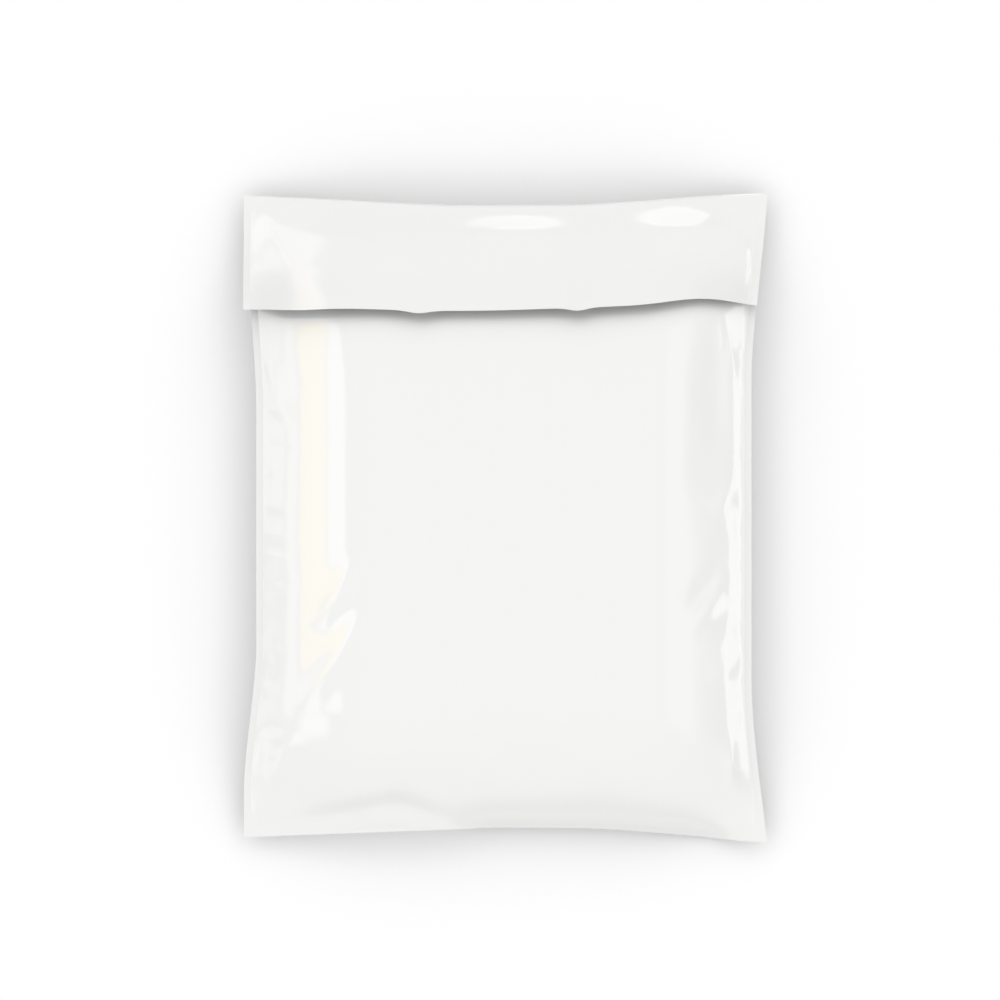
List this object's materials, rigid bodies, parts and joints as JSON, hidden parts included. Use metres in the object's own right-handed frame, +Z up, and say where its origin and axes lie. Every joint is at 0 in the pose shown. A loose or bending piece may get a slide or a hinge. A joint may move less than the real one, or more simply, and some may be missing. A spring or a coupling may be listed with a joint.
{
  "type": "poly mailer bag",
  "caption": "Filled and sealed white film mailing bag, lying on its back, with its closing flap folded over the front and a free lip along the flap's edge.",
  "frame": {"origin": "middle of the bag's footprint, on the surface that its back lies on", "axes": "X across the bag, +Y to the folded top, +Z up out of the front"},
  "size_m": [0.254, 0.3152, 0.0436],
  "materials": {
    "white_film": "white blown polythene film, glossy, slightly uneven from wrinkles"
  },
  "bodies": {
    "root": {"mailer_bag": "white_film"}
  },
  "joints": []
}
